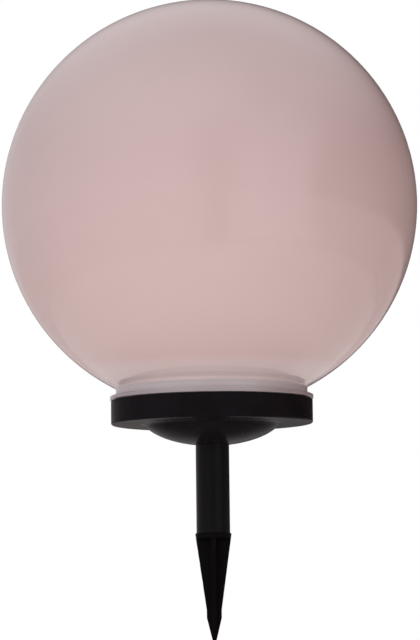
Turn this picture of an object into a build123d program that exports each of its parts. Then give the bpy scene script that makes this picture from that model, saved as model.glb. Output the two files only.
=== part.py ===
from build123d import *
import os
from math import acos, asin, cos, degrees, pi, radians, sin, sqrt

# Solar garden light: a lacquered clear globe on a black base, a stem tube and a ground spike.
# Millimetres, +Z up. The origin is on the stem's axis at ground level, at the top of the spike's collar.

# ---- Ground spike ----
collar_overhang = 1.1         # of the spike's collar past the stem tube; it stops the spike at ground level
collar_height = 3.6
collar_chamfer = 0.9
spike_length = 77.1           # from ground level down to the tip
spike_low_radius = 5.35       # half the width over two opposite ribs, where they stop tapering
spike_low_length = 5.6        # of that even width, down to the point
spike_point_length = 16.8     # the steeper point at the bottom
spike_tip_radius = 1.2
spike_rib_thickness = 3.2     # of each of the four ribs
spike_root_fillet = 1.4
plug_length = 28.0            # ribbed plug that goes up into the stem tube
plug_chamfer = 1.5

# ---- Stem tube ----
stem_radius = 12.0
stem_wall = 1.2
stem_reach = 63.0             # length that shows between the collar and the dome
socket_depth = 25.0           # length that goes into the base
slip_gap = 0.1                # radial play of a plug in a tube and of a tube in its socket

# ---- Base housing ----
housing_radius = 72.4
base_height = 17.3            # height of the side wall
housing_wall = 2.2
ring_width = 23.4             # flat ring of the underside, round the dome
dome_depth = 14.75            # from the flat ring down to where the dome meets the stem tube
dome_fullness = 3.0           # how far past its rim the dome's oval section would run out
dome_fillet = 8.0             # between the dome and the flat ring
shadow_line = 0.5             # fine groove round the side wall, just under its top edge
shadow_line_drop = 1.1
top_fillet = 0.8
bottom_fillet = 1.2
socket_wall = 2.2
rim_width = 3.9               # from the outside of the housing in to the bore that takes the globe
rim_height = 3.0
seal_seat_depth = 1.5

# ---- Bayonet between globe and housing ----
lug_count = 3
lug_arc = 16.0                # degrees
lug_height = 1.8
lug_side_gap = 0.5            # from the lugs to the housing's wall
lug_gap = 0.3                 # height that the lugs pass under the rim
notch_arc = 20.0
unlock_turn = 24.0            # degrees from locked to free
stop_arc = 3.0
stop_gap = 0.5                # degrees between a lug and its stop
stop_height = 3.2

# ---- Globe ----
globe_radius = 150.0
globe_polar_radius = 148.7    # the globe is a little flatter than a ball
globe_wall = 1.4
neck_swell_thickness = 3.4    # added to the wall where the ball runs into the neck
swell_start = 47.0            # degrees below the widest point where the wall begins to thicken
neck_step = 0.8               # of the neck out from the spigot
neck_wall = 2.6
neck_height = 5.8             # from the flange to the ball
neck_fillet = 1.6
flange_overhang = 0.6         # past the housing
flange_thickness = 2.7
flange_fillet = 0.6
flange_gap = 0.3              # the seal keeps the flange this far above the housing's rim
spigot_gap = 0.5              # from the spigot to the rim's bore
spigot_length = 5.6

# ---- Seal ring ----
seal_width = 2.0
seal_side_gap = 0.4
seal_chamfer = 0.4

# ---- Deck plate ----
deck_edge_gap = 0.3           # from the deck's flange to the rim's bore, so that it drops in
deck_neck_gap = 4.3           # from the deck's raised part to the bore of the neck
deck_flange_height = 1.8
deck_wall = 2.0
deck_rise = 6.6               # from the top of the flange to the top of the deck
deck_fillet = 1.6
deck_seat_height = 6.3        # height of the housing's bosses above its floor
screw_count = 4
screw_shank_radius = 1.3
screw_length = 6.0
screw_head_radius = 2.4
screw_head_height = 1.7
screw_head_chamfer = 0.5
screw_recess_radius = 1.1     # of the cross recess
screw_gap = 0.05              # radial play of a screw in its hole
screw_end_gap = 0.3           # left below a screw in its hole
boss_wall = 1.9
boss_web_thickness = 2.0

# ---- Solar panel ----
panel_side = 70.0
panel_board_thickness = 1.6
cell_count = 5
cell_margin = 3.0
cell_gap = 0.5
cell_thickness = 0.3
resin_thickness = 1.3
resin_corner = 1.5
resin_chamfer = 0.4
frame_wall = 1.2
frame_height = 2.6
frame_gap = 0.3

# ---- Circuit board and what is on it ----
board_edge_gap = 3.5          # from the board to the inside of the deck
board_socket_gap = 2.7        # from the board's bore to the stem socket
board_thickness = 1.6
board_drop = 3.0              # below the underside of the deck
board_screw_length = 4.0
board_screw_inset = 7.0
window_gap = 1.55             # from the battery holder to the board's opening round it
led_inset = 8.0
led_radius = 2.5
led_height = 8.6
led_flange_radius = 2.9
led_flange_height = 1.0
led_gap = 0.2
chip_length = 6.0
chip_width = 5.0
chip_height = 1.6
chip_chamfer = 0.3
chip_place = (22.0, 30.0)
inductor_radius = 5.0
inductor_height = 5.0
inductor_waist = 3.6
inductor_flange = 0.9
inductor_place = (-22.0, 30.0)
capacitor_radius = 3.15
capacitor_height = 7.0
capacitor_chamfer = 0.5
capacitor_inset = 16.0        # from the board's edge, along X
capacitor_y = 10.0

# ---- Battery and its holder ----
battery_radius = 5.25         # one AAA cell
battery_length = 44.5
battery_chamfer = 0.4
nub_radius = 1.9
nub_length = 0.9
battery_top_gap = 0.45        # below the underside of the deck
holder_wall = 1.5
holder_side_gap = 0.2
holder_socket_gap = 2.25      # from the holder to the stem socket
holder_side_height = 6.8
holder_end_height = 11.0
holder_screw_spacing = 30.0
holder_screw_length = 4.0
sunk_head_height = 0.8
holder_rib_thickness = 3.0
holder_rib_length = 11.0
contact_thickness = 0.4
contact_width = 7.0
contact_height = 8.5
leaf_reach = 2.0              # how far the negative leaf stands in from its end wall
leaf_gap = 0.05               # between the leaf and the cell
tab_width = 3.0
tab_height = 1.6
tab_drop = 3.4                # below the cell's axis
tab_reach = 1.2               # how far the tab comes out of the holder's end wall
tab_gap = 0.1

# ---- Switch ----
switch_inset = 12.0           # from the dome's rim in to the switch, which is at the back
well_radius = 7.4
well_wall = 1.6
well_ceiling_drop = 1.75      # of the well's ceiling below the flat ring
switch_side = 8.5
switch_corner = 0.4
switch_height = 7.0
plunger_radius = 1.6
plunger_seat = 1.3            # how far the plunger reaches into the switch
plunger_travel = 1.5
plunger_end_gap = 0.2         # left above the plunger when it is pressed
cap_radius = 3.2
cap_length = 5.0
cap_chamfer = 0.6
boot_wall = 1.0
boot_gap = 0.2                # between the plunger's cap and the boot
boot_reach = 5.2              # below the well's ceiling
boot_neck_wall = 1.2
boot_flange_width = 1.8       # of the flange below the well's ceiling, past the boot's neck
boot_lip_width = 1.0          # of the lip above it that holds the boot
boot_lip_height = 1.0
boot_fillet = 1.2

# ---- Leads ----
lead_radius = 0.6
lead_reach = 9.8              # how far the battery's leads run out before they turn up
lead_bend = 0.45              # radius of their bend, as a share of the shorter run
lead_hole_radius = 1.2
panel_lead_places = ((22.0, 18.0), (16.0, 23.0))

cut_margin = 1.0              # how far a cut runs past the face it opens

# ---- Radii that follow from these ----
collar_radius = stem_radius + collar_overhang
stem_bore_radius = stem_radius - stem_wall
plug_radius = stem_bore_radius - slip_gap
socket_bore_radius = stem_radius + slip_gap
socket_radius = socket_bore_radius + socket_wall
dome_rim_radius = housing_radius - ring_width
dome_half_width = dome_rim_radius + dome_fullness
housing_bore = housing_radius - housing_wall
rim_bore_radius = housing_radius - rim_width
spigot_radius = rim_bore_radius - spigot_gap
seal_seat_radius = spigot_radius + seal_width + seal_side_gap
lug_radius = housing_bore - lug_side_gap
flange_radius = housing_radius + flange_overhang
neck_radius = spigot_radius + neck_step
neck_bore_radius = neck_radius - neck_wall
deck_radius = rim_bore_radius - deck_edge_gap
deck_top_radius = neck_bore_radius - deck_neck_gap
deck_screw_circle = (deck_radius + deck_top_radius) / 2
board_radius = deck_top_radius - deck_wall - board_edge_gap
board_bore_radius = socket_radius + board_socket_gap
board_screw_circle = board_radius - board_screw_inset
led_circle = board_radius - led_inset
screw_hole_radius = screw_shank_radius + screw_gap
boss_radius = screw_shank_radius + boss_wall
boot_bore = cap_radius + boot_gap
boot_radius = boot_bore + boot_wall
boot_hole_radius = boot_bore + boot_neck_wall
boot_flange_radius = boot_hole_radius + boot_flange_width
boot_lip_radius = boot_hole_radius + boot_lip_width

# ---- Heights that follow ----
dome_rim_share = sqrt(1 - (dome_rim_radius / dome_half_width)**2)
dome_stem_share = sqrt(1 - (stem_radius / dome_half_width)**2)
dome_half_height = dome_depth / (dome_stem_share - dome_rim_share)
floor_z = stem_reach + dome_depth
floor_top_z = floor_z + housing_wall
dome_centre_z = floor_z + dome_half_height * dome_rim_share
rim_z = floor_z + base_height
rim_under_z = rim_z - rim_height
socket_top_z = stem_reach + socket_depth
lug_top_z = rim_under_z - lug_gap
flange_z = rim_z + flange_gap
flange_top_z = flange_z + flange_thickness
spigot_z = flange_z - spigot_length
ball_z = flange_top_z + neck_height
globe_z = ball_z + globe_polar_radius * sqrt(1 - (neck_radius / globe_radius)**2)
deck_seat_z = floor_top_z + deck_seat_height
deck_flange_z = deck_seat_z + deck_flange_height
deck_top_z = deck_flange_z + deck_rise
deck_under_z = deck_top_z - deck_wall
board_top_z = deck_under_z - board_drop
board_z = board_top_z - board_thickness
battery_z = deck_under_z - battery_top_gap - battery_radius
holder_z = battery_z - battery_radius - holder_wall
holder_floor_z = holder_z + holder_wall
tab_z = battery_z - tab_drop
cell_z = deck_top_z + panel_board_thickness
well_ceiling = floor_z - well_ceiling_drop
well_top_z = well_ceiling + well_wall
switch_z = board_z - switch_height
plunger_top_z = switch_z + plunger_seat
boot_z = well_ceiling - boot_reach
cap_z = boot_z + boot_wall + boot_gap

# ---- Places that follow ----
switch_y = dome_rim_radius - switch_inset
holder_width = 2 * (battery_radius + holder_side_gap + holder_wall)
battery_y = -(socket_radius + holder_socket_gap + holder_width / 2)
battery_start = -battery_length / 2
plus_wall_x = battery_length / 2 + contact_thickness
minus_wall_x = battery_start - leaf_reach - contact_thickness
holder_middle_x = (plus_wall_x + minus_wall_x) / 2
holder_inner_length = plus_wall_x - minus_wall_x
holder_length = holder_inner_length + 2 * holder_wall
lug_angles = [90 + 360 / lug_count * step for step in range(lug_count)]
corner_angle = 180 / screw_count


def polar(radius, angle):
    """A point at a radius and an angle in degrees."""
    return (radius * cos(radians(angle)), radius * sin(radians(angle)))


def ring_sector(inner, outer, arc, angle):
    """Draws a piece of a ring, centred on an angle, in the sketch that calls it."""
    reach = outer / cos(radians(arc / 2)) + cut_margin
    with BuildSketch(mode=Mode.PRIVATE) as sector:
        Circle(outer)
        Circle(inner, mode=Mode.SUBTRACT)
        with BuildLine():
            Polyline(
                (0, 0), polar(reach, angle - arc / 2), polar(reach, angle + arc / 2), close=True
            )
        make_face(mode=Mode.INTERSECT)
    add(sector.sketch)


os.makedirs("parts", exist_ok=True)

# ---- Ground spike: collar, four ribs that taper to a point, and the plug for the tube ----
point_z = -spike_length + spike_point_length
with BuildPart() as ground_spike:
    with BuildSketch(Plane.XY.offset(-spike_length)) as ribs:
        Rectangle(2 * collar_radius, spike_rib_thickness)
        Rectangle(spike_rib_thickness, 2 * collar_radius)
        fillet(ribs.vertices().group_by(SortBy.DISTANCE)[0], spike_root_fillet)
    extrude(amount=spike_length - collar_height)
    with BuildSketch(Plane.XY.offset(-collar_height)):
        Circle(collar_radius)
    extrude(amount=collar_height)
    with BuildSketch(Plane.XZ):
        with BuildLine():
            Polyline(
                (0, 0),
                (collar_radius, 0),
                (spike_low_radius, point_z + spike_low_length),
                (spike_low_radius, point_z),
                (spike_tip_radius, -spike_length),
                (0, -spike_length),
                close=True,
            )
        make_face()
    revolve(axis=Axis.Z, mode=Mode.INTERSECT)
    collar_edge = ground_spike.edges().filter_by(GeomType.CIRCLE).sort_by(Axis.Z)[-1]
    chamfer(collar_edge, collar_chamfer)
    with BuildSketch():
        Rectangle(2 * plug_radius, spike_rib_thickness)
        Rectangle(spike_rib_thickness, 2 * plug_radius)
        Circle(plug_radius, mode=Mode.INTERSECT)
    extrude(amount=plug_length)
    chamfer(ground_spike.faces().sort_by(Axis.Z)[-1].edges().filter_by(GeomType.CIRCLE), plug_chamfer)
ground_spike.part.label = "ground_spike"
export_step(ground_spike.part, "parts/ground_spike.step")

# ---- Stem tube ----
with BuildPart() as stem_tube:
    with BuildSketch():
        Circle(stem_radius)
        Circle(stem_bore_radius, mode=Mode.SUBTRACT)
    extrude(amount=socket_top_z)
stem_tube.part.label = "stem_tube"
export_step(stem_tube.part, "parts/stem_tube.step")

# ---- Base housing: the space inside first, with what stands in it left out ----
def dome_curve(wall, end_z):
    """Half of the dome's oval section, in from its outside by a wall, from the axis up to a height."""
    half_height = dome_half_height - wall
    swept = 90 - degrees(asin((dome_centre_z - end_z) / half_height))
    return EllipticalCenterArc((0, dome_centre_z), dome_half_width - wall, half_height, 270, arc_size=swept)


with BuildPart() as inside:
    with BuildSketch(Plane.XZ):
        with BuildLine():
            bowl = dome_curve(housing_wall, floor_top_z)
            Polyline(
                bowl @ 1,
                (housing_bore, floor_top_z),
                (housing_bore, rim_under_z),
                (rim_bore_radius, rim_under_z),
                (rim_bore_radius, rim_z - seal_seat_depth),
                (seal_seat_radius, rim_z - seal_seat_depth),
                (seal_seat_radius, rim_z + cut_margin),
                (0, rim_z + cut_margin),
                bowl @ 0,
            )
        make_face()
    revolve(axis=Axis.Z)
    # stem socket
    with BuildSketch(Plane.XY.offset(stem_reach - socket_wall)):
        Circle(socket_radius)
    extrude(amount=socket_depth + 2 * socket_wall, mode=Mode.SUBTRACT)
    # walls of the switch well
    with BuildSketch(Plane.XY.offset(stem_reach)):
        with Locations((0, switch_y)):
            Circle(well_radius + well_wall)
    extrude(amount=well_top_z - stem_reach, mode=Mode.SUBTRACT)
    # bosses of the deck screws, each tied to the side wall by a web
    with BuildSketch(Plane.XY.offset(floor_z)):
        with PolarLocations(deck_screw_circle, screw_count, corner_angle):
            Circle(boss_radius)
        with PolarLocations((deck_screw_circle + housing_radius) / 2, screw_count, corner_angle):
            Rectangle(housing_radius - deck_screw_circle, boss_web_thickness)
    extrude(amount=deck_seat_z - floor_z, mode=Mode.SUBTRACT)
    # two ribs that carry the battery holder
    with BuildSketch(Plane.XY.offset(stem_reach)):
        with Locations((0, battery_y)):
            with GridLocations(holder_screw_spacing, 0, 2, 1):
                Rectangle(holder_rib_thickness, holder_rib_length)
                Circle(boss_radius)
    extrude(amount=holder_z - stem_reach, mode=Mode.SUBTRACT)
    # stops of the bayonet, under the rim
    with BuildSketch(Plane.XY.offset(rim_under_z - stop_height)):
        for lug_angle in lug_angles:
            step_out = lug_arc / 2 + stop_gap + stop_arc / 2
            ring_sector(rim_bore_radius, housing_radius, stop_arc, lug_angle - step_out)
            ring_sector(rim_bore_radius, housing_radius, stop_arc, lug_angle + unlock_turn + step_out)
    extrude(amount=stop_height, mode=Mode.SUBTRACT)

with BuildPart() as base_housing:
    with BuildSketch(Plane.XZ) as outline:
        with BuildLine():
            dome = dome_curve(0, floor_z)
            line_z = rim_z - shadow_line_drop
            Polyline(
                dome @ 1,
                (housing_radius, floor_z),
                (housing_radius, line_z - shadow_line),
                (housing_radius - shadow_line, line_z - shadow_line),
                (housing_radius - shadow_line, line_z),
                (housing_radius, line_z),
                (housing_radius, rim_z),
                (0, rim_z),
                dome @ 0,
            )
        make_face()
        fillet(outline.vertices().sort_by_distance((housing_radius, rim_z))[0], top_fillet)
        fillet(outline.vertices().sort_by_distance((housing_radius, floor_z))[0], bottom_fillet)
        fillet(outline.vertices().sort_by_distance((dome_rim_radius, floor_z))[0], dome_fillet)
    revolve(axis=Axis.Z)
    add(inside.part, mode=Mode.SUBTRACT)
    # stem socket's bore
    with BuildSketch(Plane.XY.offset(stem_reach - socket_wall)):
        Circle(socket_bore_radius)
    extrude(amount=socket_depth + socket_wall, mode=Mode.SUBTRACT)
    # notches through the rim for the lugs
    with BuildSketch(Plane.XY.offset(rim_under_z)):
        for lug_angle in lug_angles:
            inner = rim_bore_radius - cut_margin
            ring_sector(inner, housing_bore, notch_arc, lug_angle + unlock_turn)
    extrude(amount=rim_height + cut_margin, mode=Mode.SUBTRACT)
    # pilot holes of the screws
    with BuildSketch(Plane.XY.offset(deck_seat_z)):
        with PolarLocations(deck_screw_circle, screw_count, corner_angle):
            Circle(screw_hole_radius)
    extrude(amount=-(screw_length - deck_flange_height + screw_end_gap), mode=Mode.SUBTRACT)
    with BuildSketch(Plane.XY.offset(holder_z)):
        with Locations((0, battery_y)):
            with GridLocations(holder_screw_spacing, 0, 2, 1):
                Circle(screw_hole_radius)
    extrude(amount=-(holder_screw_length - holder_wall + screw_end_gap), mode=Mode.SUBTRACT)
    # switch well, open below, and the boot's hole in its ceiling
    with BuildSketch(Plane.XY.offset(stem_reach - cut_margin)):
        with Locations((0, switch_y)):
            Circle(well_radius)
    extrude(amount=well_ceiling - stem_reach + cut_margin, mode=Mode.SUBTRACT)
    with BuildSketch(Plane.XY.offset(well_ceiling)):
        with Locations((0, switch_y)):
            Circle(boot_hole_radius)
    extrude(amount=well_wall, mode=Mode.SUBTRACT)
base_housing.part.label = "base_housing"
export_step(base_housing.part, "parts/base_housing.step")

# ---- Globe: an oblate ball with a neck, a flange and a spigot, all one moulding ----
def meridian(start_radius, wall=0, swell=0):
    """Half of the ball's outline, from above the neck to the top, in from the outside by a wall.

    The wall grows by the swell between the angle where that begins and the neck.
    """
    half_width = globe_radius - wall
    half_height = globe_polar_radius - wall
    bend = -radians(swell_start)
    start = -acos(start_radius / (half_width - swell))
    turns = [bend + (start - bend) * step / 4 for step in (4, 3, 2, 1)]
    turns += [bend + (pi / 2 - bend) * step / 9 for step in range(10)]
    points = []
    for turn in turns:
        extra = swell * max(0, (turn - bend) / (start - bend))**2
        points.append(((half_width - extra) * cos(turn), globe_z + (half_height - extra) * sin(turn)))
    growth = 2 * swell / (bend - start)
    leaving = (
        growth * cos(start) - (half_width - swell) * sin(start),
        growth * sin(start) + (half_height - swell) * cos(start),
    )
    return Spline(*points, tangents=[leaving, (-1, 0)], tangent_scalars=[1, 1])


with BuildPart() as globe:
    with BuildSketch(Plane.XZ) as outline:
        with BuildLine():
            outer_ball = meridian(neck_radius)
            inner_ball = meridian(neck_bore_radius, globe_wall, neck_swell_thickness)
            Line(outer_ball @ 1, inner_ball @ 1)
            Polyline(
                outer_ball @ 0,
                (neck_radius, flange_top_z),
                (flange_radius, flange_top_z),
                (flange_radius, flange_z),
                (spigot_radius, flange_z),
                (spigot_radius, spigot_z),
                (neck_bore_radius, spigot_z),
                inner_ball @ 0,
            )
        make_face()
        fillet(outline.vertices().sort_by_distance((neck_radius, ball_z))[0], neck_fillet)
        for corner_z in (flange_z, flange_top_z):
            fillet(outline.vertices().sort_by_distance((flange_radius, corner_z))[0], flange_fillet)
    revolve(axis=Axis.Z)
    # lugs of the bayonet
    with BuildSketch(Plane.XY.offset(lug_top_z - lug_height)):
        for lug_angle in lug_angles:
            ring_sector(spigot_radius - neck_wall / 2, lug_radius, lug_arc, lug_angle)
    extrude(amount=lug_height)
globe.part.label = "globe"
export_step(globe.part, "parts/globe.step")

# ---- Seal ring, on the globe's spigot under its flange ----
with BuildPart() as seal_ring:
    with BuildSketch(Plane.XZ) as section:
        with Locations((spigot_radius, rim_z - seal_seat_depth)):
            Rectangle(seal_width, flange_gap + seal_seat_depth, align=(Align.MIN, Align.MIN))
        chamfer(section.vertices(), seal_chamfer)
    revolve(axis=Axis.Z)
seal_ring.part.label = "seal_ring"
export_step(seal_ring.part, "parts/seal_ring.step")

# ---- Deck plate: a flanged cover with the panel's frame on top and four bosses below ----
frame_side = panel_side + 2 * (frame_gap + frame_wall)
with BuildPart() as deck_plate:
    with BuildSketch(Plane.XZ) as outline:
        with BuildLine():
            Polyline(
                (0, deck_under_z),
                (deck_top_radius - deck_wall, deck_under_z),
                (deck_top_radius - deck_wall, deck_seat_z),
                (deck_radius, deck_seat_z),
                (deck_radius, deck_flange_z),
                (deck_top_radius, deck_flange_z),
                (deck_top_radius, deck_top_z),
                (0, deck_top_z),
                close=True,
            )
        make_face()
        fillet(outline.vertices().sort_by_distance((deck_top_radius, deck_top_z))[0], deck_fillet)
    revolve(axis=Axis.Z)
    with BuildSketch(Plane.XY.offset(deck_top_z)):
        Rectangle(frame_side, frame_side)
        Rectangle(frame_side - 2 * frame_wall, frame_side - 2 * frame_wall, mode=Mode.SUBTRACT)
    extrude(amount=frame_height)
    with BuildSketch(Plane.XY.offset(deck_under_z)):
        with PolarLocations(board_screw_circle, screw_count, corner_angle):
            Circle(boss_radius)
    extrude(amount=-board_drop)
    # holes for the lamps, the panel's leads and both sets of screws
    with BuildSketch(Plane.XY.offset(deck_under_z)):
        with PolarLocations(led_circle, screw_count):
            Circle(led_radius + led_gap)
        with Locations(*panel_lead_places):
            Circle(lead_hole_radius)
    extrude(amount=deck_wall, mode=Mode.SUBTRACT)
    with BuildSketch(Plane.XY.offset(deck_seat_z)):
        with PolarLocations(deck_screw_circle, screw_count, corner_angle):
            Circle(screw_hole_radius)
    extrude(amount=deck_flange_height, mode=Mode.SUBTRACT)
    with BuildSketch(Plane.XY.offset(board_top_z)):
        with PolarLocations(board_screw_circle, screw_count, corner_angle):
            Circle(screw_hole_radius)
    extrude(amount=board_screw_length - board_thickness + screw_end_gap, mode=Mode.SUBTRACT)
deck_plate.part.label = "deck_plate"
export_step(deck_plate.part, "parts/deck_plate.step")


def pan_head_screw(length):
    """A screw with a cross recess, standing on the plane its head seats on."""
    with BuildPart(mode=Mode.PRIVATE) as screw:
        with BuildSketch():
            Circle(screw_shank_radius)
        extrude(amount=-length)
        with BuildSketch():
            Circle(screw_head_radius)
        extrude(amount=screw_head_height)
        chamfer(screw.faces().sort_by(Axis.Z)[-1].edges(), screw_head_chamfer)
        with BuildSketch(Plane.XY.offset(screw_head_height)):
            Rectangle(2 * screw_recess_radius, screw_recess_radius / 2)
            Rectangle(screw_recess_radius / 2, 2 * screw_recess_radius)
        extrude(amount=-screw_head_height / 2, mode=Mode.SUBTRACT)
    return screw.part


# ---- Screws: four down through the deck's flange ----
with BuildPart() as deck_screws:
    with Locations(Plane.XY.offset(deck_flange_z)):
        with PolarLocations(deck_screw_circle, screw_count, corner_angle):
            add(pan_head_screw(screw_length))
deck_screws.part.label = "deck_screws"
export_step(deck_screws.part, "parts/deck_screws.step")

# ---- four up through the circuit board into the deck's bosses ----
with BuildPart() as board_screws:
    with Locations(Plane.XY.offset(board_z)):
        with PolarLocations(board_screw_circle, screw_count, corner_angle):
            add(pan_head_screw(board_screw_length), rotation=(180, 0, 0))
board_screws.part.label = "board_screws"
export_step(board_screws.part, "parts/board_screws.step")

# ---- and two down through the floor of the battery holder, sunk flush under the cell ----
with BuildPart() as holder_screws:
    with BuildSketch(Plane.XY.offset(holder_floor_z)):
        with Locations((0, battery_y)):
            with GridLocations(holder_screw_spacing, 0, 2, 1):
                Circle(screw_shank_radius)
    extrude(amount=-holder_screw_length)
    with BuildSketch(Plane.XY.offset(holder_floor_z)):
        with Locations((0, battery_y)):
            with GridLocations(holder_screw_spacing, 0, 2, 1):
                Circle(screw_head_radius)
    extrude(amount=-sunk_head_height)
holder_screws.part.label = "holder_screws"
export_step(holder_screws.part, "parts/holder_screws.step")

# ---- Solar panel: backing board, cell strips, and the resin cast over them ----
cell_length = panel_side - 2 * cell_margin
cell_pitch = (cell_length + cell_gap) / cell_count
cell_width = cell_pitch - cell_gap
with BuildPart() as panel_board:
    with BuildSketch(Plane.XY.offset(deck_top_z)):
        Rectangle(panel_side, panel_side)
    extrude(amount=panel_board_thickness)
panel_board.part.label = "panel_board"
export_step(panel_board.part, "parts/panel_board.step")

with BuildPart() as solar_cells:
    with BuildSketch(Plane.XY.offset(cell_z)):
        with GridLocations(0, cell_pitch, 1, cell_count):
            Rectangle(cell_length, cell_width)
    extrude(amount=cell_thickness)
solar_cells.part.label = "solar_cells"
export_step(solar_cells.part, "parts/solar_cells.step")

with BuildPart() as panel_resin:
    with BuildSketch(Plane.XY.offset(cell_z)):
        RectangleRounded(panel_side, panel_side, resin_corner)
    extrude(amount=resin_thickness)
    chamfer(panel_resin.faces().sort_by(Axis.Z)[-1].edges(), resin_chamfer)
    add(solar_cells.part, mode=Mode.SUBTRACT)
panel_resin.part.label = "panel_resin"
export_step(panel_resin.part, "parts/panel_resin.step")

# ---- Circuit board: a ring with an opening for the battery ----
with BuildPart() as circuit_board:
    with BuildSketch(Plane.XY.offset(board_z)):
        Circle(board_radius)
        Circle(board_bore_radius, mode=Mode.SUBTRACT)
        with Locations((holder_middle_x, battery_y)):
            window_length = holder_length + 2 * window_gap
            window_width = holder_width + 2 * window_gap
            Rectangle(window_length, window_width, mode=Mode.SUBTRACT)
        with PolarLocations(board_screw_circle, screw_count, corner_angle):
            Circle(screw_hole_radius, mode=Mode.SUBTRACT)
    extrude(amount=board_thickness)
circuit_board.part.label = "circuit_board"
export_step(circuit_board.part, "parts/circuit_board.step")

with BuildPart(mode=Mode.PRIVATE) as led:
    with BuildSketch():
        Circle(led_flange_radius)
    extrude(amount=led_flange_height)
    with BuildSketch():
        Circle(led_radius)
    extrude(amount=led_height - led_radius)
    with Locations((0, 0, led_height - led_radius)):
        Sphere(led_radius)
with BuildPart() as leds:
    with Locations(Plane.XY.offset(board_top_z)):
        with PolarLocations(led_circle, screw_count):
            add(led.part)
leds.part.label = "leds"
export_step(leds.part, "parts/leds.step")

with BuildPart() as charge_chip:
    with BuildSketch(Plane.XY.offset(board_z)):
        with Locations(chip_place):
            Rectangle(chip_length, chip_width)
    extrude(amount=-chip_height)
    chamfer(charge_chip.faces().sort_by(Axis.Z)[0].edges(), chip_chamfer)
charge_chip.part.label = "charge_chip"
export_step(charge_chip.part, "parts/charge_chip.step")

with BuildPart() as inductor:
    with BuildSketch(Plane.XY.offset(board_z)):
        with Locations(inductor_place):
            Circle(inductor_radius)
    extrude(amount=-inductor_flange)
    with BuildSketch(Plane.XY.offset(board_z)):
        with Locations(inductor_place):
            Circle(inductor_waist)
    extrude(amount=-inductor_height)
    with BuildSketch(Plane.XY.offset(board_z - inductor_height)):
        with Locations(inductor_place):
            Circle(inductor_radius)
    extrude(amount=inductor_flange)
inductor.part.label = "inductor"
export_step(inductor.part, "parts/inductor.step")

with BuildPart() as capacitor:
    with BuildSketch(Plane.XY.offset(board_z)):
        with Locations((board_radius - capacitor_inset, capacitor_y)):
            Circle(capacitor_radius)
    extrude(amount=-capacitor_height)
    chamfer(capacitor.faces().sort_by(Axis.Z)[0].edges(), capacitor_chamfer)
capacitor.part.label = "capacitor"
export_step(capacitor.part, "parts/capacitor.step")

# ---- Battery: a round can with the positive nub at its +X end ----
battery_axis = Plane((battery_start, battery_y, battery_z), x_dir=(0, 1, 0), z_dir=(1, 0, 0))
with BuildPart() as battery:
    with BuildSketch(battery_axis):
        Circle(battery_radius)
    extrude(amount=battery_length - nub_length)
    chamfer(battery.edges().filter_by(GeomType.CIRCLE), battery_chamfer)
    with BuildSketch(battery_axis):
        Circle(nub_radius)
    extrude(amount=battery_length)
battery.part.label = "battery"
export_step(battery.part, "parts/battery.step")

# ---- Battery holder: an open trough with an end wall behind each contact ----
holder_inner_width = holder_width - 2 * holder_wall
with BuildPart() as battery_holder:
    with BuildSketch(Plane.XY.offset(holder_z)):
        with Locations((holder_middle_x, battery_y)):
            Rectangle(holder_length, holder_width)
    extrude(amount=holder_end_height)
    with BuildSketch(Plane.XY.offset(holder_floor_z)):
        with Locations((holder_middle_x, battery_y)):
            Rectangle(holder_inner_length, holder_inner_width)
    extrude(amount=holder_end_height, mode=Mode.SUBTRACT)
    with BuildSketch(Plane.XY.offset(holder_z + holder_side_height)):
        with Locations((holder_middle_x, battery_y)):
            Rectangle(holder_inner_length, holder_width)
    extrude(amount=holder_end_height, mode=Mode.SUBTRACT)
    # slots for the contacts' tabs
    with BuildSketch(Plane.YZ.offset(minus_wall_x - holder_wall)):
        with Locations((battery_y, tab_z)):
            Rectangle(tab_width + 2 * tab_gap, tab_height + 2 * tab_gap)
    extrude(amount=holder_length, mode=Mode.SUBTRACT)
    add(holder_screws.part, mode=Mode.SUBTRACT)
battery_holder.part.label = "battery_holder"
export_step(battery_holder.part, "parts/battery_holder.step")

# ---- Contacts: a plate at the positive end, a bent leaf at the negative end ----
with BuildPart() as contact_plus:
    with BuildSketch(Plane.YZ.offset(plus_wall_x)):
        with Locations((battery_y, battery_z)):
            Rectangle(contact_width, contact_height)
    extrude(amount=-contact_thickness)
    with BuildSketch(Plane.YZ.offset(plus_wall_x)):
        with Locations((battery_y, tab_z)):
            Rectangle(tab_width, tab_height)
    extrude(amount=holder_wall + tab_reach)
contact_plus.part.label = "contact_plus"
export_step(contact_plus.part, "parts/contact_plus.step")

with BuildPart() as contact_minus:
    with BuildSketch(Plane.YZ.offset(minus_wall_x)):
        with Locations((battery_y, battery_z)):
            Rectangle(contact_width, contact_height)
    extrude(amount=contact_thickness)
    with BuildSketch(Plane.YZ.offset(minus_wall_x)):
        with Locations((battery_y, tab_z)):
            Rectangle(tab_width, tab_height)
    extrude(amount=-(holder_wall + tab_reach))
    with BuildSketch(Plane.XZ.offset(-battery_y)):
        with BuildLine():
            plate_x = minus_wall_x + contact_thickness / 2
            leaf_x = battery_start - leaf_gap - contact_thickness / 2
            leaf_top_z = battery_z + (contact_height - contact_thickness) / 2
            FilletPolyline(
                (plate_x, leaf_top_z),
                (leaf_x, battery_z),
                (plate_x + 2 * contact_thickness, battery_z - contact_height / 3),
                radius=2 * contact_thickness,
            )
        trace(line_width=contact_thickness)
    extrude(amount=contact_width / 2, both=True)
contact_minus.part.label = "contact_minus"
export_step(contact_minus.part, "parts/contact_minus.step")

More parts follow.
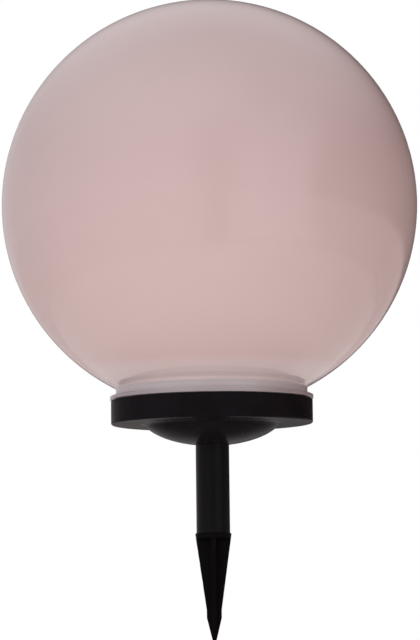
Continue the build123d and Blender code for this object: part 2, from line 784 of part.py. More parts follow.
# ---- Switch on the board, its plunger, and the rubber boot in the housing's well ----
switch_axis = Axis((0, switch_y, 0), (0, 0, 1))
with BuildPart() as switch_body:
    with BuildSketch(Plane.XY.offset(board_z)):
        with Locations((0, switch_y)):
            RectangleRounded(switch_side, switch_side, switch_corner)
    extrude(amount=-switch_height)
    with BuildSketch(Plane.XY.offset(switch_z)):
        with Locations((0, switch_y)):
            Circle(plunger_radius + slip_gap)
    extrude(amount=plunger_seat + plunger_travel + plunger_end_gap, mode=Mode.SUBTRACT)
switch_body.part.label = "switch_body"
export_step(switch_body.part, "parts/switch_body.step")

with BuildPart() as switch_plunger:
    with BuildSketch(Plane.XY.offset(cap_z)):
        with Locations((0, switch_y)):
            Circle(cap_radius)
    extrude(amount=cap_length)
    chamfer(switch_plunger.faces().sort_by(Axis.Z)[0].edges(), cap_chamfer)
    with BuildSketch(Plane.XY.offset(cap_z + cap_length)):
        with Locations((0, switch_y)):
            Circle(plunger_radius)
    extrude(amount=plunger_top_z - cap_z - cap_length)
switch_plunger.part.label = "switch_plunger"
export_step(switch_plunger.part, "parts/switch_plunger.step")

with BuildPart() as switch_boot:
    with BuildSketch(Plane.XZ.offset(-switch_y)) as outline:
        with BuildLine():
            Polyline(
                (0, boot_z),
                (boot_radius, boot_z),
                (boot_radius, well_ceiling - boot_wall),
                (boot_flange_radius, well_ceiling - boot_wall),
                (boot_flange_radius, well_ceiling),
                (boot_hole_radius, well_ceiling),
                (boot_hole_radius, well_top_z),
                (boot_lip_radius, well_top_z),
                (boot_lip_radius, well_top_z + boot_lip_height),
                (boot_bore, well_top_z + boot_lip_height),
                (boot_bore, boot_z + boot_wall),
                (0, boot_z + boot_wall),
                close=True,
            )
        make_face()
        fillet(outline.vertices().sort_by_distance((boot_radius, boot_z))[0], boot_fillet)
        fillet(
            outline.vertices().sort_by_distance((boot_bore, boot_z + boot_wall))[0],
            boot_fillet - boot_wall + boot_gap,
        )
    revolve(axis=switch_axis)
switch_boot.part.label = "switch_boot"
export_step(switch_boot.part, "parts/switch_boot.step")


# ---- Leads: one from each contact's tab to the board, and one from each end of the panel ----
def battery_lead(start_x, side):
    """A lead that runs out from a tab along X and turns up to the underside of the board."""
    end_x = start_x + side * lead_reach
    rise = board_z - tab_z
    with BuildPart(mode=Mode.PRIVATE) as lead:
        with BuildLine() as route:
            FilletPolyline(
                (start_x, battery_y, tab_z),
                (end_x, battery_y, tab_z),
                (end_x, battery_y, board_z),
                radius=lead_bend * min(rise, lead_reach),
            )
        with BuildSketch(Plane((start_x, battery_y, tab_z), z_dir=(side, 0, 0))):
            Circle(lead_radius)
        sweep(path=route.line)
    return lead.part


def panel_lead(place):
    """A short lead from the back of the panel through the deck to the board."""
    with BuildPart(mode=Mode.PRIVATE) as lead:
        with BuildSketch(Plane.XY.offset(board_top_z)):
            with Locations(place):
                Circle(lead_radius)
        extrude(amount=deck_top_z - board_top_z)
    return lead.part


with BuildPart() as leads_red:
    add(battery_lead(plus_wall_x + holder_wall + tab_reach, 1))
    add(panel_lead(panel_lead_places[0]))
leads_red.part.label = "leads_red"
export_step(leads_red.part, "parts/leads_red.step")

with BuildPart() as leads_black:
    add(battery_lead(minus_wall_x - holder_wall - tab_reach, -1))
    add(panel_lead(panel_lead_places[1]))
leads_black.part.label = "leads_black"
export_step(leads_black.part, "parts/leads_black.step")
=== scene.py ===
from math import acos, cos, pi, radians, sin

import bmesh
import bpy
from mathutils import Matrix, Vector


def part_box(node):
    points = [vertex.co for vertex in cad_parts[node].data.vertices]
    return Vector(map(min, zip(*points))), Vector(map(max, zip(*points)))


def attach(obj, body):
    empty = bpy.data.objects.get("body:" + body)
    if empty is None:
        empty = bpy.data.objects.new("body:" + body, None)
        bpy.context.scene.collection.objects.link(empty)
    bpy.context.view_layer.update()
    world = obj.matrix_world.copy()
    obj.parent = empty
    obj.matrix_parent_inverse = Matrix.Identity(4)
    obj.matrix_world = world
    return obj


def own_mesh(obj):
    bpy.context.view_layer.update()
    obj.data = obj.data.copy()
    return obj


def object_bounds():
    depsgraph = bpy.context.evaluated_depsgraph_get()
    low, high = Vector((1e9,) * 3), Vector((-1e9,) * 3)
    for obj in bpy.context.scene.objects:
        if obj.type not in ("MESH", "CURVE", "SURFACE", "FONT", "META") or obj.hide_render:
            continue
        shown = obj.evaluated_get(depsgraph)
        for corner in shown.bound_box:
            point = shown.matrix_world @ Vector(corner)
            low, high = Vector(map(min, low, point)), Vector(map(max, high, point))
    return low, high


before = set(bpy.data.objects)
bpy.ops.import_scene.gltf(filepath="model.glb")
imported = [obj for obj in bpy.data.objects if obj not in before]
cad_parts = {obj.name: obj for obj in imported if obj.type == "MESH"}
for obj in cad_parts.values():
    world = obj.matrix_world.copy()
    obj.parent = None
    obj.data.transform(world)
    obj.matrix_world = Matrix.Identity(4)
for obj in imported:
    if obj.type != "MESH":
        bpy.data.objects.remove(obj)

cad_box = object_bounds()


# ---- Ground spike ----
# One moulding in black polypropylene: a collar, four ribs that taper to a point, and the
# plug that the stem tube slides over. Its mould leaves a fine even grain, and the ribs'
# edges come out a little shinier than their faces.
def value_group(name, inputs, outputs):
    """An empty shader node group with the named float inputs and outputs, and its two end nodes."""
    tree = bpy.data.node_groups.new(name, "ShaderNodeTree")
    for label, default in inputs.items():
        socket = tree.interface.new_socket(label, in_out="INPUT", socket_type="NodeSocketFloat")
        socket.default_value = default
    for label in outputs:
        tree.interface.new_socket(label, in_out="OUTPUT", socket_type="NodeSocketFloat")
    return tree, tree.nodes.new("NodeGroupInput"), tree.nodes.new("NodeGroupOutput")


def noise_node(tree, place, scale, detail=2.0, rough=0.5):
    """A noise texture read at an object-space place; scale is a number or a socket."""
    noise = tree.nodes.new("ShaderNodeTexNoise")
    noise.inputs["Detail"].default_value = detail
    noise.inputs["Roughness"].default_value = rough
    tree.links.new(place, noise.inputs["Vector"])
    if isinstance(scale, (int, float)):
        noise.inputs["Scale"].default_value = scale
    else:
        tree.links.new(scale, noise.inputs["Scale"])
    return noise.outputs["Fac"]


def remap(tree, value, low, high, new_low=0.0, new_high=1.0, smooth=False):
    """A value stretched from one range to another and held within it."""
    node = tree.nodes.new("ShaderNodeMapRange")
    if smooth:
        node.interpolation_type = "SMOOTHSTEP"
    limits = {"From Min": low, "From Max": high, "To Min": new_low, "To Max": new_high}
    for label, number in limits.items():
        if isinstance(number, (int, float)):
            node.inputs[label].default_value = number
        else:
            tree.links.new(number, node.inputs[label])
    tree.links.new(value, node.inputs["Value"])
    return node.outputs["Result"]


def maths(tree, operation, *values):
    """One Math node over numbers or sockets."""
    node = tree.nodes.new("ShaderNodeMath")
    node.operation = operation
    for socket, value in zip(node.inputs, values):
        if isinstance(value, (int, float)):
            socket.default_value = value
        else:
            tree.links.new(value, socket)
    return node.outputs[0]


def object_place(tree, stretch=(1.0, 1.0, 1.0)):
    """Object coordinates, squeezed along each axis by a factor."""
    coordinates = tree.nodes.new("ShaderNodeTexCoord")
    mapping = tree.nodes.new("ShaderNodeMapping")
    mapping.inputs["Scale"].default_value = stretch
    tree.links.new(coordinates.outputs["Object"], mapping.inputs["Vector"])
    return mapping.outputs["Vector"]


moulded_grain, group_in, group_out = value_group(
    "moulded_grain", {"Grain Size": 0.0005, "Patch Size": 0.03}, ("Grain", "Patches")
)
place = object_place(moulded_grain)
grain_scale = maths(moulded_grain, "DIVIDE", 1.0, group_in.outputs["Grain Size"])
patch_scale = maths(moulded_grain, "DIVIDE", 1.0, group_in.outputs["Patch Size"])
moulded_grain.links.new(noise_node(moulded_grain, place, grain_scale, 3.0), group_out.inputs["Grain"])
patches = noise_node(moulded_grain, place, patch_scale, 3.0, 0.6)
moulded_grain.links.new(remap(moulded_grain, patches, 0.32, 0.68), group_out.inputs["Patches"])

rubbed_edges, group_in, group_out = value_group(
    "rubbed_edges", {"Width": 0.0006, "Break Up": 0.6}, ("Edges",)
)
bevel = rubbed_edges.nodes.new("ShaderNodeBevel")
bevel.samples = 4
rubbed_edges.links.new(group_in.outputs["Width"], bevel.inputs["Radius"])
geometry = rubbed_edges.nodes.new("ShaderNodeNewGeometry")
facing = rubbed_edges.nodes.new("ShaderNodeVectorMath")
facing.operation = "DOT_PRODUCT"
rubbed_edges.links.new(bevel.outputs["Normal"], facing.inputs[0])
rubbed_edges.links.new(geometry.outputs["Normal"], facing.inputs[1])
flat_cosine, edge_cosine = 0.995, 0.9
bent = remap(rubbed_edges, facing.outputs["Value"], flat_cosine, edge_cosine)
scuffs_per_metre = 420.0
patchy = noise_node(rubbed_edges, object_place(rubbed_edges), scuffs_per_metre, 3.0)
patchy = remap(rubbed_edges, patchy, 0.35, 0.6)
kept = maths(rubbed_edges, "SUBTRACT", 1.0, group_in.outputs["Break Up"])
patchy = maths(rubbed_edges, "MAXIMUM", patchy, kept)
rubbed_edges.links.new(maths(rubbed_edges, "MULTIPLY", bent, patchy), group_out.inputs["Edges"])


def finish(name, colour, roughness, **plain):
    """A new material with its Principled shader's plain sockets set, and its node tree and shader."""
    material = bpy.data.materials.new(name)
    material.use_nodes = True
    tree = material.node_tree
    shader = tree.nodes["Principled BSDF"]
    shader.inputs["Base Color"].default_value = (*colour, 1.0)
    shader.inputs["Roughness"].default_value = roughness
    for label, number in plain.items():
        shader.inputs[label.replace("_", " ")].default_value = number
    return material, tree, shader


def place_group(tree, group, **values):
    """A node group in a material, with its own input values."""
    node = tree.nodes.new("ShaderNodeGroup")
    node.node_tree = group
    for label, number in values.items():
        node.inputs[label.replace("_", " ")].default_value = number
    return node.outputs


def mixed(tree, mask, first, second):
    """Two colours mixed by a mask; each is a colour or a socket."""
    node = tree.nodes.new("ShaderNodeMix")
    node.data_type = "RGBA"
    colours = [socket for socket in node.inputs if socket.type == "RGBA"]
    for socket, colour in zip(colours, (first, second)):
        if isinstance(colour, tuple):
            socket.default_value = (*colour, 1.0)
        else:
            tree.links.new(colour, socket)
    tree.links.new(mask, node.inputs["Factor"])
    return next(socket for socket in node.outputs if socket.type == "RGBA")


def relief(tree, shader, height, depth):
    """Bumps of a depth in metres on a shader."""
    bump = tree.nodes.new("ShaderNodeBump")
    bump.inputs["Distance"].default_value = depth
    tree.links.new(height, bump.inputs["Height"])
    tree.links.new(bump.outputs["Normal"], shader.inputs["Normal"])


def dress(node, material):
    """Gives a CAD node one material."""
    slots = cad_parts[node].data.materials
    slots.clear()
    slots.append(material)


def black_moulding(name, colour, roughness, grain_size, grain_depth):
    """Black moulded plastic: faint patches in colour and gloss, fine grain, and shinier edges."""
    dull_specular = 0.012
    edge_polish = 0.12
    material, tree, shader = finish(name, colour, roughness, Specular_IOR_Level=dull_specular)
    grain = place_group(tree, moulded_grain, Grain_Size=grain_size, Patch_Size=0.035)
    edges = place_group(tree, rubbed_edges, Width=0.0005, Break_Up=0.5)["Edges"]
    lighter = tuple(1.5 * channel for channel in colour)
    worn = tuple(2.2 * channel + 0.001 for channel in colour)
    body = mixed(tree, grain["Patches"], colour, lighter)
    tree.links.new(mixed(tree, edges, body, worn), shader.inputs["Base Color"])
    gloss = remap(tree, grain["Patches"], 0.0, 1.0, roughness - 0.05, roughness + 0.07)
    gloss = maths(tree, "SUBTRACT", gloss, maths(tree, "MULTIPLY", edges, edge_polish))
    tree.links.new(gloss, shader.inputs["Roughness"])
    relief(tree, shader, grain["Grain"], grain_depth)
    return material


spike_plastic = black_moulding("spike_plastic", (0.0035, 0.003, 0.0036), 0.42, 0.0006, 0.00004)
dress("ground_spike", spike_plastic)


# ---- Stem tube ----
# A length of extruded black tube, pushed over the spike's plug and up into the base. The
# die draws faint lines along it, and the cut ends are left as sawn.
drawn_lines, group_in, group_out = value_group("drawn_lines", {"Line Width": 0.0004}, ("Lines",))
line_scale = maths(drawn_lines, "DIVIDE", 1.0, group_in.outputs["Line Width"])
lines = noise_node(drawn_lines, object_place(drawn_lines, (1.0, 1.0, 0.012)), line_scale, 2.0)
drawn_lines.links.new(lines, group_out.inputs["Lines"])

tube_black = (0.0032, 0.0028, 0.0034)
tube_grey = (0.0046, 0.0041, 0.0048)
tube_plastic, tree, shader = finish("tube_plastic", tube_black, 0.34, Specular_IOR_Level=0.1)
lines = place_group(tree, drawn_lines, Line_Width=0.0004)["Lines"]
patches = place_group(tree, moulded_grain, Grain_Size=0.0005, Patch_Size=0.05)["Patches"]
tree.links.new(mixed(tree, patches, tube_black, tube_grey), shader.inputs["Base Color"])
tree.links.new(remap(tree, lines, 0.3, 0.7, 0.28, 0.42), shader.inputs["Roughness"])
relief(tree, shader, lines, 0.00002)
dress("stem_tube", tube_plastic)


# ---- Base housing ----
# The black dish under the globe, moulded in one: the domed middle with the stem's socket,
# the flat ring round it, the side wall and the rim with its bayonet notches. It is
# smoother and glossier than the spike.
housing_plastic = black_moulding("housing_plastic", (0.007, 0.0058, 0.007), 0.26, 0.0004, 0.00001)
dress("base_housing", housing_plastic)


# ---- Switch ----
# A push switch soldered under the circuit board, worked by a moulded plunger inside a
# rubber boot that seals the well at the back of the dome. The boot gets its own copy of its mesh.
def soft_rubber(name, colour):
    """Matte rubber with a fine skin and a pale bloom on its patches."""
    material, tree, shader = finish(name, colour, 0.68, Specular_IOR_Level=0.35)
    grain = place_group(tree, moulded_grain, Grain_Size=0.00035, Patch_Size=0.008)
    bloom = tuple(2.2 * channel + 0.003 for channel in colour)
    tree.links.new(mixed(tree, grain["Patches"], colour, bloom), shader.inputs["Base Color"])
    tree.links.new(remap(tree, grain["Patches"], 0.0, 1.0, 0.6, 0.78), shader.inputs["Roughness"])
    relief(tree, shader, grain["Grain"], 0.00003)
    return material


def plain_moulding(name, colour, roughness):
    """Coloured moulded plastic: slight patches, fine grain, and a paler rubbed edge."""
    material, tree, shader = finish(name, colour, roughness)
    grain = place_group(tree, moulded_grain, Grain_Size=0.0004, Patch_Size=0.012)
    edges = place_group(tree, rubbed_edges, Width=0.0003)["Edges"]
    darker = tuple(0.86 * channel for channel in colour)
    paler = tuple(min(1.0, 1.08 * channel + 0.02) for channel in colour)
    body = mixed(tree, grain["Patches"], colour, darker)
    tree.links.new(mixed(tree, edges, body, paler), shader.inputs["Base Color"])
    gloss = remap(tree, grain["Patches"], 0.0, 1.0, roughness - 0.06, roughness + 0.08)
    tree.links.new(gloss, shader.inputs["Roughness"])
    relief(tree, shader, grain["Grain"], 0.00002)
    return material


dress("switch_boot", soft_rubber("boot_rubber", (0.012, 0.012, 0.013)))
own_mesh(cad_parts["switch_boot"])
dress("switch_plunger", plain_moulding("plunger_plastic", (0.62, 0.61, 0.58), 0.4))
dress("switch_body", plain_moulding("switch_shell", (0.022, 0.022, 0.024), 0.45))


# ---- Battery and its holder ----
# One rechargeable cell in a shrink sleeve, in a black trough screwed to the housing's
# ribs. A plated plate and a bent leaf press on its ends, and a lead runs from each.
def plated_metal(name, colour, roughness):
    """Plated sheet or turned metal: rolling lines, slight stains, brighter edges."""
    material, tree, shader = finish(name, colour, roughness, Metallic=1.0)
    lines = place_group(tree, drawn_lines, Line_Width=0.0001)["Lines"]
    grain = place_group(tree, moulded_grain, Grain_Size=0.0002, Patch_Size=0.003)
    edges = place_group(tree, rubbed_edges, Width=0.0002)["Edges"]
    stained = tuple(0.72 * channel for channel in colour)
    bright = tuple(min(1.0, 1.2 * channel) for channel in colour)
    body = mixed(tree, grain["Patches"], colour, stained)
    tree.links.new(mixed(tree, edges, body, bright), shader.inputs["Base Color"])
    gloss = remap(tree, lines, 0.3, 0.7, roughness - 0.08, roughness + 0.12)
    tree.links.new(gloss, shader.inputs["Roughness"])
    relief(tree, shader, grain["Grain"], 0.00001)
    return material


battery_box = [Vector(corner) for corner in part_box("battery")]
sleeve_green = (0.05, 0.22, 0.09)
sleeve, tree, shader = finish("battery_sleeve", sleeve_green, 0.3, Coat_Weight=0.2)
along = tree.nodes.new("ShaderNodeSeparateXYZ")
tree.links.new(object_place(tree), along.inputs[0])
end_x = battery_box[1].x - 0.0012
band_x = battery_box[1].x - 0.009
bare = remap(tree, along.outputs["X"], end_x, end_x + 0.0002)
band = remap(tree, along.outputs["X"], band_x, band_x + 0.0003)
patches = place_group(tree, moulded_grain, Grain_Size=0.0003, Patch_Size=0.01)
ink = mixed(tree, patches["Patches"], sleeve_green, (0.04, 0.18, 0.075))
ink = mixed(tree, band, ink, (0.55, 0.56, 0.54))
tree.links.new(mixed(tree, bare, ink, (0.55, 0.54, 0.52)), shader.inputs["Base Color"])
tree.links.new(bare, shader.inputs["Metallic"])
relief(tree, shader, patches["Grain"], 0.00001)
dress("battery", sleeve)
dress("battery_holder", plain_moulding("holder_plastic", (0.02, 0.02, 0.021), 0.5))
nickel = plated_metal("contact_nickel", (0.62, 0.6, 0.56), 0.28)
dress("contact_plus", nickel)
dress("contact_minus", nickel)
for node, colour in (("leads_red", (0.5, 0.02, 0.02)), ("leads_black", (0.015, 0.015, 0.016))):
    dress(node, plain_moulding(node + "_sleeve", colour, 0.35))
zinc = plated_metal("screw_zinc", (0.5, 0.5, 0.52), 0.33)
for node in ("holder_screws", "board_screws", "deck_screws"):
    dress(node, zinc)


# ---- Circuit board ----
# A ring of green glass-fibre board that hangs under the deck. Copper tracks show through
# its lacquer, and it carries the charging chip, a wound inductor, a capacitor and the lamps.
def track_mask(tree, pitch):
    """Stepped copper runs: the borders of a coarse grid of cells, thinned to lines."""
    cells = tree.nodes.new("ShaderNodeTexVoronoi")
    cells.feature = "DISTANCE_TO_EDGE"
    cells.inputs["Scale"].default_value = 1.0 / pitch
    cells.inputs["Randomness"].default_value = 0.55
    tree.links.new(object_place(tree, (1.0, 1.0, 0.001)), cells.inputs["Vector"])
    return remap(tree, cells.outputs["Distance"], 0.05, 0.09, 1.0, 0.0)


board_green = (0.008, 0.09, 0.03)
board_lacquer, tree, shader = finish("board_lacquer", board_green, 0.3, Coat_Weight=0.3)
tracks = track_mask(tree, 0.007)
grain = place_group(tree, moulded_grain, Grain_Size=0.0003, Patch_Size=0.015)
under = mixed(tree, grain["Patches"], board_green, (0.006, 0.075, 0.026))
tree.links.new(mixed(tree, tracks, under, (0.02, 0.2, 0.06)), shader.inputs["Base Color"])
relief(tree, shader, tracks, 0.00004)
dress("circuit_board", board_lacquer)
dress("panel_board", board_lacquer)
dress("charge_chip", plain_moulding("chip_resin", (0.018, 0.018, 0.02), 0.55))

coil, tree, shader = finish("inductor_coil", (0.4, 0.12, 0.04), 0.3, Metallic=0.8)
windings = tree.nodes.new("ShaderNodeTexWave")
windings.wave_type = "BANDS"
windings.bands_direction = "Z"
winding_scale = 1200.0
windings.inputs["Scale"].default_value = winding_scale
windings.inputs["Distortion"].default_value = 0.5
tree.links.new(object_place(tree), windings.inputs["Vector"])
wire = mixed(tree, windings.outputs["Fac"], (0.25, 0.06, 0.02), (0.55, 0.2, 0.08))
tree.links.new(wire, shader.inputs["Base Color"])
relief(tree, shader, windings.outputs["Fac"], 0.0001)
dress("inductor", coil)
dress("capacitor", plain_moulding("capacitor_sleeve", (0.02, 0.03, 0.07), 0.3))

lamp_cream = (0.86, 0.85, 0.78)
lamp_resin, tree, shader = finish("lamp_resin", lamp_cream, 0.12, IOR=1.5, Coat_Weight=0.4)
milky = place_group(tree, moulded_grain, Grain_Size=0.0008, Patch_Size=0.003)
body = mixed(tree, milky["Patches"], lamp_cream, (0.72, 0.72, 0.62))
tree.links.new(body, shader.inputs["Base Color"])
relief(tree, shader, milky["Grain"], 0.00001)
dress("leds", lamp_resin)


# ---- Deck plate ----
# The white cover that closes the housing, screwed to four bosses under the globe's neck.
# Its raised top throws the lamps' light up and carries the solar panel in a low frame.
dress("deck_plate", plain_moulding("deck_plastic", (0.64, 0.62, 0.6), 0.42))


# ---- Solar panel ----
# Five dark cells on a green board, each printed with fine silver fingers and one busbar,
# under clear cast resin.
panel_box = [Vector(corner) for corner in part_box("solar_cells")]
cell_count = 5
cell_pitch = (panel_box[1].y - panel_box[0].y) / cell_count
finger_pitch = 0.0016
finger_half = 0.00006
busbar_half = 0.0007
silicon_blue = (0.006, 0.012, 0.04)
cells, tree, shader = finish("solar_cell", silicon_blue, 0.25, Coat_Weight=0.3)
across = tree.nodes.new("ShaderNodeSeparateXYZ")
tree.links.new(object_place(tree), across.inputs[0])
finger = maths(tree, "PINGPONG", across.outputs["X"], finger_pitch / 2)
finger = maths(tree, "LESS_THAN", finger, finger_half)
busbar = maths(tree, "SUBTRACT", across.outputs["Y"], panel_box[0].y)
busbar = maths(tree, "PINGPONG", busbar, cell_pitch / 2)
busbar = maths(tree, "GREATER_THAN", busbar, cell_pitch / 2 - busbar_half)
silver = maths(tree, "MAXIMUM", finger, busbar)
grain = place_group(tree, moulded_grain, Grain_Size=0.002, Patch_Size=0.006)
silicon = mixed(tree, grain["Patches"], silicon_blue, (0.01, 0.022, 0.075))
tree.links.new(mixed(tree, silver, silicon, (0.55, 0.55, 0.56)), shader.inputs["Base Color"])
tree.links.new(silver, shader.inputs["Metallic"])
relief(tree, shader, silver, 0.00001)
dress("solar_cells", cells)


def two_layers(tree, amount, first, second):
    """The surface mixed from two shader nodes by an amount, which is a number or a socket."""
    mix = tree.nodes.new("ShaderNodeMixShader")
    if isinstance(amount, float):
        mix.inputs[0].default_value = amount
    else:
        tree.links.new(amount, mix.inputs[0])
    tree.links.new(first.outputs[0], mix.inputs[1])
    tree.links.new(second.outputs[0], mix.inputs[2])
    tree.links.new(mix.outputs[0], tree.nodes["Material Output"].inputs["Surface"])


def clear_resin(name, tint, roughness, ior, wave_size, wave_depth):
    """Clear plastic that bends what is seen through it and lets the lamps' light straight in."""
    material, tree, shader = finish(name, tint, roughness, IOR=ior, Transmission_Weight=1.0)
    waves = place_group(tree, moulded_grain, Grain_Size=wave_size, Patch_Size=0.02)
    relief(tree, shader, waves["Grain"], wave_depth)
    through = tree.nodes.new("ShaderNodeBsdfTransparent")
    through.inputs["Color"].default_value = (*tint, 1.0)
    path = tree.nodes.new("ShaderNodeLightPath")
    straight = maths(tree, "MAXIMUM", path.outputs["Is Shadow Ray"], path.outputs["Is Diffuse Ray"])
    two_layers(tree, straight, shader, through)
    return material


dress("panel_resin", clear_resin("panel_resin", (0.97, 0.97, 0.96), 0.06, 1.5, 0.004, 0.00003))


# ---- Seal ring ----
# A moulded rubber ring on the globe's spigot, pressed between its flange and the housing.
dress("seal_ring", soft_rubber("seal_rubber", (0.01, 0.01, 0.011)))


# ---- Globe ----
# One clear acrylic moulding, blown thin over the ball and thick at its neck. Its inside is
# sprayed with a frosted pinkish grey lacquer. Low on the ball the lacquer is painted paler, as
# painted light where the base shades it, and down the neck it is painted grey and streaky, as
# a painted reflection of the base seen through the clear neck.
dress("globe", clear_resin("globe_acrylic", (0.985, 0.98, 0.978), 0.02, 1.49, 0.02, 0.00002))

globe_box = [Vector(corner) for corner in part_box("globe")]
foot_z = globe_box[0].z
globe_radius = globe_box[1].x
polar_radius = 0.1487
globe_z = globe_box[1].z - polar_radius
neck_bore = 0.0662
ball_wall = 0.0014
swell = 0.0034
swell_start = radians(-47)
coat_depth = 0.00015
coat_end_z = foot_z + 0.0065
# Heights where the neck's coat turns to painted reflection streaks.
painted_reflection_band = (foot_z + 0.0165, foot_z + 0.0145)
# Heights where the lacquer is painted paler: painted light against the base's shade and dark
# reflection.
painted_light_band = (foot_z + 0.032, foot_z + 0.022)
warmth_band = (globe_z + 0.12, globe_z - 0.12)
rows = 96
sides = 256


def inside_of_ball(inset):
    """The outline of the neck's bore and the ball's inside, moved in by an inset, from below up."""
    half_width = globe_radius - ball_wall - inset
    half_height = polar_radius - ball_wall - inset
    start = -acos((neck_bore - inset) / (half_width - swell))
    points = []
    for row in range(rows + 1):
        turn = start + (pi / 2 - start) * row / rows
        extra = swell * max(0.0, (turn - swell_start) / (start - swell_start)) ** 2
        height = globe_z + (half_height - extra) * sin(turn)
        points.append(((half_width - extra) * cos(turn), height))
    points[-1] = (0.0, points[-1][1])
    return [(neck_bore - inset, coat_end_z)] + points


def turned(name, outline):
    """An outline in radius and height, turned round the Z axis into a smooth sheet."""
    mesh = bmesh.new()
    rings = []
    for radius, height in outline:
        around = sides if radius > 0 else 1
        steps = [2 * pi * side / sides for side in range(around)]
        ring = [(radius * cos(step), radius * sin(step), height) for step in steps]
        rings.append([mesh.verts.new(point) for point in ring])
    for lower, upper in zip(rings, rings[1:]):
        for side in range(sides):
            corners = [lower[side], lower[(side + 1) % sides]]
            corners += [upper[(side + 1) % len(upper)], upper[side % len(upper)]]
            mesh.faces.new(list(dict.fromkeys(corners)))
    bmesh.ops.recalc_face_normals(mesh, faces=mesh.faces)
    data = bpy.data.meshes.new(name)
    mesh.to_mesh(data)
    mesh.free()
    data.shade_smooth()
    piece = bpy.data.objects.new(name, data)
    bpy.context.collection.objects.link(piece)
    return piece


lacquer = turned("globe_lacquer", inside_of_ball(-coat_depth))
lacquer_coat, tree, shader = finish("lacquer_coat", (0.72, 0.56, 0.55), 0.6, Specular_IOR_Level=0.0)
height = tree.nodes.new("ShaderNodeSeparateXYZ")
tree.links.new(object_place(tree), height.inputs[0])
up = height.outputs["Z"]
cool_pink, warm_pink, faint_pink = (0.71, 0.565, 0.565), (0.73, 0.555, 0.54), (0.69, 0.535, 0.525)
# A paler pink painted low on the ball: painted light where the base shades it and reflects dark.
painted_light_colour = (0.82, 0.7, 0.69)
# Grey streak colours: a painted reflection of the base seen through the clear neck.
reflection_dark_streak, reflection_pale_streak = (0.52, 0.485, 0.52), (0.62, 0.58, 0.615)
coat = mixed(tree, remap(tree, up, *warmth_band), cool_pink, warm_pink)
# Low on the ball the coat turns to the paler painted light colour.
coat = mixed(tree, remap(tree, up, *painted_light_band, smooth=True), coat, painted_light_colour)
drawn_flat = (8.0, 8.0, 700.0)
reflection_lines = noise_node(tree, object_place(tree, drawn_flat), 1.0, 2.0)
painted_streaks = mixed(tree, remap(tree, reflection_lines, 0.35, 0.65), reflection_dark_streak, reflection_pale_streak)
# Down the neck the coat turns to the painted reflection streaks.
coat = mixed(tree, remap(tree, up, *painted_reflection_band), coat, painted_streaks)
spray = place_group(tree, moulded_grain, Grain_Size=0.001, Patch_Size=0.09)
spray_strength = 0.35
faint = maths(tree, "MULTIPLY", spray["Patches"], spray_strength)
tree.links.new(mixed(tree, faint, coat, faint_pink), shader.inputs["Base Color"])
relief(tree, shader, spray["Grain"], 0.00003)
glow = tree.nodes.new("ShaderNodeBsdfTranslucent")
glow.inputs["Color"].default_value = (0.76, 0.6, 0.58, 1.0)
let_through = 0.2
two_layers(tree, let_through, shader, glow)
lacquer.data.materials.append(lacquer_coat)
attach(lacquer, "globe")


# ---- Floor ----
# A pale studio floor just under the spike's point. It is white to the camera, pale in
# reflections, keeps the light's soft shadow, and can be looked through from underneath. In
# reflections its glow starts only 0.1 m out from the stem, which leaves a painted shadow
# under the object.
floor_z = cad_box[0][2] - 0.0005
half = 12.0
data = bpy.data.meshes.new("floor")
corners = [(-half, -half), (half, -half), (half, half), (-half, half)]
data.from_pydata([(x, y, floor_z) for x, y in corners], [], [(0, 1, 2, 3)])
floor = bpy.data.objects.new("floor", data)
bpy.context.collection.objects.link(floor)
floor_cream = (0.8, 0.77, 0.745)
paper, tree, shader = finish("floor_paper", floor_cream, 0.9, Specular_IOR_Level=0.0)
place = object_place(tree, (1.0, 1.0, 0.0))
fibres_per_metre = 60.0
fibres = noise_node(tree, place, fibres_per_metre, 3.0)
tree.links.new(mixed(tree, fibres, floor_cream, (0.78, 0.75, 0.725)), shader.inputs["Base Color"])


def distance_from(tree, place, spot):
    """How far a place is from a spot."""
    node = tree.nodes.new("ShaderNodeVectorMath")
    node.operation = "DISTANCE"
    node.inputs[1].default_value = spot
    tree.links.new(place, node.inputs[0])
    return node.outputs["Value"]


path = tree.nodes.new("ShaderNodeLightPath")
in_mirror = path.outputs["Is Glossy Ray"]
seen_white = 0.6
mirrored_white = 0.38
seen = maths(tree, "MAXIMUM", path.outputs["Is Camera Ray"], path.outputs["Is Transmission Ray"])
seen_glow = maths(tree, "MULTIPLY", seen, seen_white)
from_stem = distance_from(tree, place, (0.0, 0.0, 0.0))
# The floor glows in reflections only from 0.1 m out from the stem: a painted shadow under the object.
glow_past_painted_shadow = remap(tree, from_stem, 0.1, 0.26, 0.0, mirrored_white, smooth=True)
mirrored_glow = maths(tree, "MULTIPLY", in_mirror, glow_past_painted_shadow)
glow_strength = maths(tree, "ADD", seen_glow, mirrored_glow)
tree.links.new(glow_strength, shader.inputs["Emission Strength"])
shader.inputs["Emission Color"].default_value = (1.0, 1.0, 1.0, 1.0)
from_table = distance_from(tree, place, (0.1, 0.1, 0.0))
near = remap(tree, from_table, 0.92, 0.48, smooth=True)
far_mirror = maths(tree, "MULTIPLY", in_mirror, maths(tree, "SUBTRACT", 1.0, near))
underneath = tree.nodes.new("ShaderNodeNewGeometry").outputs["Backfacing"]
open_part = maths(tree, "MAXIMUM", far_mirror, underneath)
two_layers(tree, open_part, shader, tree.nodes.new("ShaderNodeBsdfTransparent"))
data.materials.append(paper)


# ---- Studio light ----
# A white background, with more light from behind and above than from the right, one large
# soft lamp in front and a wide weak one on the floor, which sends light up as a table does.
world = bpy.data.worlds.new("studio")
bpy.context.scene.world = world
world.use_nodes = True
tree = world.node_tree
background = tree.nodes["Background"]
coordinates = tree.nodes.new("ShaderNodeTexCoord")
toward = tree.nodes.new("ShaderNodeSeparateXYZ")
tree.links.new(coordinates.outputs["Generated"], toward.inputs[0])
right, back, up = (toward.outputs[axis] for axis in "XYZ")

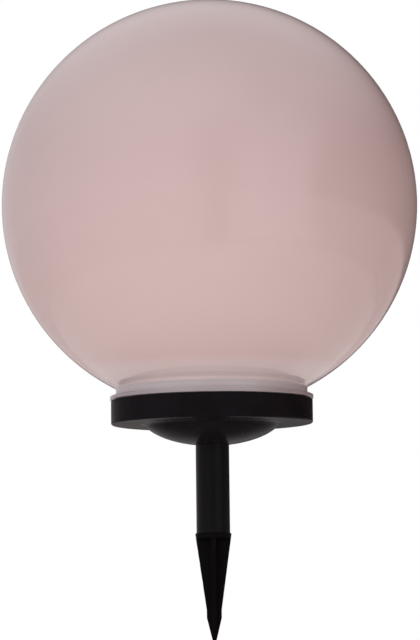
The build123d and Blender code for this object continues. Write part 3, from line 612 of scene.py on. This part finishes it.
# What falls on the object.
plain_light, right_light = (0.38, 0.38, 0.4), (0.22, 0.09, 0.06)
overhead_light, back_light = (0.64, 0.64, 0.66), (1.3, 1.26, 1.24)
light = mixed(tree, remap(tree, right, 0.0, 0.9, smooth=True), plain_light, right_light)
light = mixed(tree, remap(tree, up, 0.5, 0.95, smooth=True), light, overhead_light)
light = mixed(tree, remap(tree, back, 0.4, 1.0, smooth=True), light, back_light)

# What shows in its gloss: walls and a ceiling, pale walls low down on both sides, a dark far
# end, and an upright window to the front and right.
dark_wall, pale_wall, ceiling = (0.1, 0.07, 0.07), (0.7, 0.65, 0.67), (1.35, 1.3, 1.3)
low_middle, low_left, low_right = (0.1, 0.09, 0.09), (0.62, 0.55, 0.54), (0.62, 0.52, 0.52)
far_dark, window = (0.09, 0.085, 0.085), (0.95, 0.95, 1.0)
mirrored = mixed(tree, remap(tree, right, 0.15, -0.4, smooth=True), dark_wall, pale_wall)
mirrored = mixed(tree, remap(tree, up, 0.3, 0.9, smooth=True), mirrored, ceiling)
low_wall = mixed(tree, remap(tree, right, 0.06, -0.14, smooth=True), low_middle, low_left)
low_wall = mixed(tree, remap(tree, right, 0.14, 0.22, smooth=True), low_wall, low_right)
mirrored = mixed(tree, remap(tree, up, 0.02, -0.05, smooth=True), mirrored, low_wall)
far_end = remap(tree, back, 0.96, 0.99, smooth=True)
far_end = maths(tree, "MULTIPLY", far_end, remap(tree, up, -0.1, -0.05))
far_end = maths(tree, "MULTIPLY", far_end, remap(tree, maths(tree, "ABSOLUTE", right), 0.2, 0.12))
mirrored = mixed(tree, far_end, mirrored, far_dark)
in_window = remap(tree, right, 0.05, 0.5, smooth=True)
in_window = maths(tree, "MULTIPLY", in_window, remap(tree, right, 0.88, 0.78))
in_window = maths(tree, "MULTIPLY", in_window, remap(tree, back, -0.1, -0.4))
mirrored = mixed(tree, in_window, mirrored, window)

path = tree.nodes.new("ShaderNodeLightPath")
studio = mixed(tree, path.outputs["Is Glossy Ray"], light, mirrored)
seen = maths(tree, "MAXIMUM", path.outputs["Is Camera Ray"], path.outputs["Is Transmission Ray"])
tree.links.new(mixed(tree, seen, studio, (1.0, 1.0, 1.0)), background.inputs["Color"])
background.inputs["Strength"].default_value = 1.0


def soft_lamp(name, width, depth, power, place, turn):
    """A rectangular lamp that gives light but isn't seen, in the picture or in the gloss."""
    data = bpy.data.lights.new(name, "AREA")
    data.shape = "RECTANGLE"
    data.size, data.size_y = width, depth
    data.energy = power
    lamp = bpy.data.objects.new(name, data)
    lamp.location = place
    lamp.rotation_euler = turn
    lamp.visible_camera = False
    lamp.visible_glossy = False
    lamp.visible_transmission = False
    bpy.context.collection.objects.link(lamp)


front_place = Vector((-0.3, -1.8, 0.3))
front_aim = Vector((0, 0, 0.2))
front_turn = (front_aim - front_place).to_track_quat("-Z", "Y").to_euler()
soft_lamp("front_lamp", 2.0, 1.0, 16.0, front_place, front_turn)
on_floor = (0.0, 0.0, floor_z + 0.0005)
facing_up = (pi, 0.0, 0.0)
soft_lamp("floor_bounce", 4.0, 4.0, 16.0, on_floor, facing_up)


# ---- Camera ----
# A long lens a little below the globe's middle, leaning slightly, as the photograph was taken.
picture_height = 640
focal_pixels = 2497.1
camera_distance = 1.8
camera_elevation = radians(-6.61)
camera_roll = radians(-0.68)
target = Vector((-0.0006, 0.0, 0.153))
camera_data = bpy.data.cameras.new("camera")
camera_data.sensor_fit = "VERTICAL"
camera_data.sensor_height = 24.0
camera_data.lens = focal_pixels / picture_height * camera_data.sensor_height
camera_data.clip_end = 50.0
camera = bpy.data.objects.new("camera", camera_data)
offset = Vector((0.0, -cos(camera_elevation), sin(camera_elevation)))
camera.location = target + camera_distance * offset
aim = (-offset).to_track_quat("-Z", "Y").to_matrix() @ Matrix.Rotation(camera_roll, 3, "Z")
camera.matrix_world = Matrix.Translation(camera.location) @ aim.to_4x4()
bpy.context.collection.objects.link(camera)
bpy.context.scene.camera = camera
bpy.context.scene.view_settings.view_transform = "Standard"
